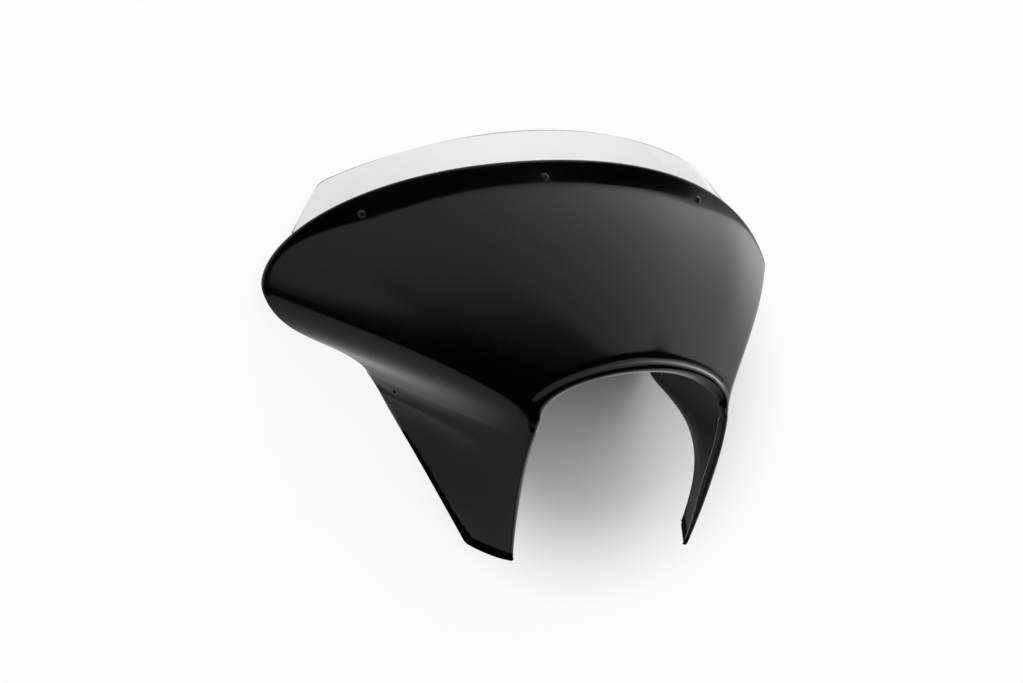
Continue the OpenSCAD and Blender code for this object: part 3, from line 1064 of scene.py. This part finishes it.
def tent(tree, way):
    """Brightness of the studio in a direction"""
    x, y, z = split(tree, way)
    flat = less(tree, maths(tree, "MULTIPLY", z, z))
    flat = maths(tree, "SQRT", maths(tree, "MAXIMUM", flat, FLAT_LEAST))
    ahead = maths(tree, "MULTIPLY", y, -1.0)
    front = maths(tree, "DIVIDE", ahead, flat)
    tilted = maths(tree, "ADD", front, maths(tree, "MULTIPLY", x, OPENING_TILT))
    leaning = maths(tree, "SUBTRACT", z, maths(tree, "MULTIPLY", x, OPENING_LEAN))
    leaning = maths(tree, "ADD", leaning, maths(tree, "MULTIPLY", less(tree, front), OPENING_ARC))
    low, high = (span(tree, front, *OPENING_AHEAD, *ends) for ends in zip(OPENING_TOP, OPENING_TOP_AHEAD))
    under_top = less(tree, span(tree, leaning, low, high))
    opening = maths(tree, "MULTIPLY", span(tree, tilted, *OPENING_SIDE), under_top)
    opening = maths(tree, "MULTIPLY", opening, span(tree, z, *OPENING_FOOT))
    veil = span(tree, ahead, *VEIL_SPAN, 0.0, VEIL)
    veil = maths(tree, "MULTIPLY", span(tree, front, *VEIL_SIDE), veil)
    down = maths(tree, "MULTIPLY", z, -1.0)
    back = span(tree, y, *BACK_SPAN, 0.0, BACK_EXTRA)
    back = maths(tree, "MULTIPLY", back, span(tree, z, *BACK_RISE))
    light = maths(tree, "ADD", span(tree, x, *RIGHT_SPAN, TENT, TENT + RIGHT_EXTRA), back)
    light = maths(tree, "ADD", light, span(tree, x, *MIDDLE_SPAN, 0.0, MIDDLE_EXTRA))
    light = maths(tree, "ADD", light, span(tree, down, *FLOOR_SPAN, 0.0, FLOOR_EXTRA))
    light = maths(tree, "MULTIPLY", light, less(tree, opening))
    return maths(tree, "MULTIPLY", light, less(tree, veil))


def white_light(tree, strength):
    node = tree.nodes.new("ShaderNodeBackground")
    node.inputs["Color"].default_value = (1.0, 1.0, 1.0, 1.0)
    if isinstance(strength, bpy.types.NodeSocket):
        tree.links.new(strength, node.inputs["Strength"])
    else:
        node.inputs["Strength"].default_value = strength
    return node.outputs["Background"]


def make_world():
    """White where the camera looks, the tent for gloss, and a plain soft light for the rest"""
    world = bpy.data.worlds.new("studio")
    bpy.context.scene.world = world
    world.use_nodes = True
    world.cycles.sampling_method = "NONE"
    tree = world.node_tree
    tree.nodes.clear()
    way = tree.nodes.new("ShaderNodeTexCoord").outputs["Generated"]
    path = tree.nodes.new("ShaderNodeLightPath").outputs
    gloss = tent(tree, way)
    fill = span(tree, split(tree, way)["Z"], *FILL_SPAN, FILL_LOW, FILL_TOP)
    lit = choose(tree, path["Is Glossy Ray"], white_light(tree, fill), white_light(tree, gloss))
    seen = maths(tree, "MAXIMUM", path["Is Camera Ray"], path["Is Transmission Ray"])
    out = tree.nodes.new("ShaderNodeOutputWorld")
    tree.links.new(choose(tree, seen, lit, white_light(tree, 1.0)), out.inputs["Surface"])


make_world()


def make_camera():
    """Stands on the photograph's line of sight, far off"""
    turn = math.radians(VIEW_TURN)
    rise = math.radians(VIEW_RISE)
    ahead = Vector((-math.sin(turn) * math.cos(rise), math.cos(turn) * math.cos(rise), -math.sin(rise)))
    right = Vector((math.cos(turn), math.sin(turn), 0.0))
    up = right.cross(ahead)
    stand = (Vector(VIEW_CENTRE) + VIEW_RIGHT * right + VIEW_UP * up - VIEW_RANGE * ahead) * MM
    camera = bpy.data.objects.new("camera", bpy.data.cameras.new("camera"))
    bpy.context.scene.collection.objects.link(camera)
    camera.matrix_world = Matrix.Translation(stand) @ Matrix((right, up, -ahead)).transposed().to_4x4()
    camera.data.sensor_width = SENSOR_W
    camera.data.lens = LENS
    bpy.context.scene.camera = camera


make_camera()
bpy.context.scene.view_settings.view_transform = "Standard"
